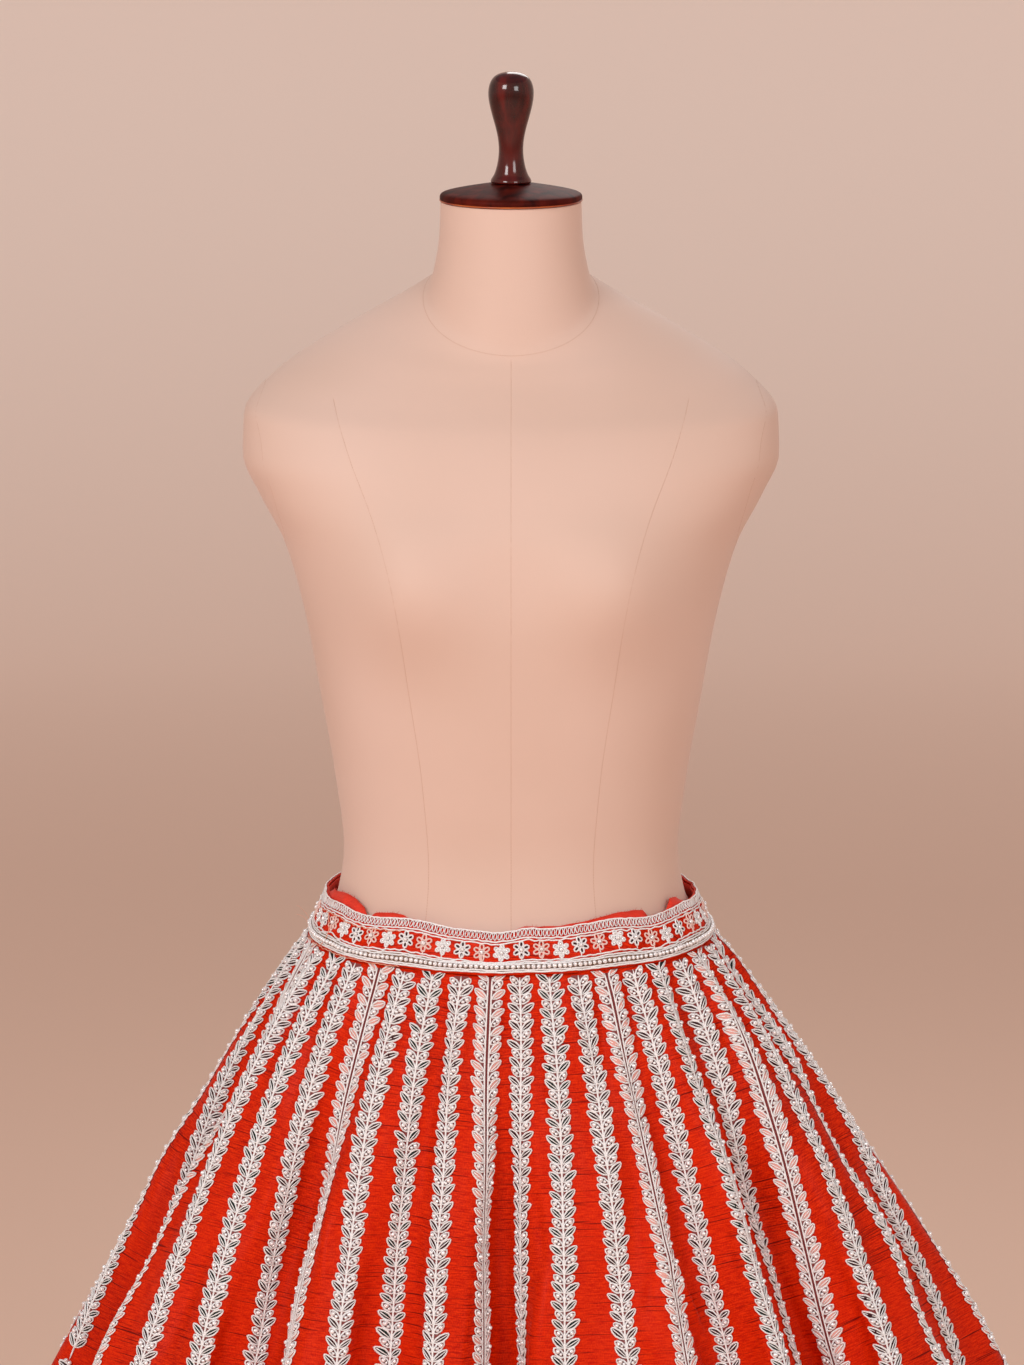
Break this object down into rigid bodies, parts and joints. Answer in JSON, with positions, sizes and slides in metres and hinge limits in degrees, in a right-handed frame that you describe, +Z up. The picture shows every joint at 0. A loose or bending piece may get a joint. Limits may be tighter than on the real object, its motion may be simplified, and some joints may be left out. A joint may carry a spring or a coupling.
{
  "type": "lehenga skirt on a dress form",
  "caption": "Full-length flared lehenga skirt of stitched kalis with embroidered stripes and a trimmed waistband, resting on a limbless dress form with a pole and a round base.",
  "frame": {"origin": "on the floor under the middle of the stand's base, on the form's own axis", "axes": "+Z up along the form's axis, -Y towards the front of the skirt, +X to the right as seen from the front"},
  "size_m": [1.3193, 0.8349, 1.6237],
  "materials": {
    "silk": "red-orange raw silk with dark slubs and a soft sheen",
    "facing": "matt red cotton with a raw edge",
    "silver_thread": "silver zari cord and beads with a fine sparkle",
    "colour_thread": "satin stitch in dark green, maroon and pink",
    "form_skin": "smooth skin-toned shell with a low gloss",
    "wood": "dark red-brown lacquered wood, glossy",
    "stand": "dark satin paint"
  },
  "bodies": {
    "root": {"kali_01": "silk", "kali_02": "silk", "kali_03": "silk", "kali_04": "silk", "kali_05": "silk", "kali_06": "silk", "kali_07": "silk", "kali_08": "silk", "kali_09": "silk", "kali_10": "silk", "waistband": "silk", "waist_facing": "facing", "form_body": "form_skin", "form_cap": "wood", "form_knob": "wood", "stand_pole": "stand", "stand_base": "stand"}
  },
  "joints": []
}
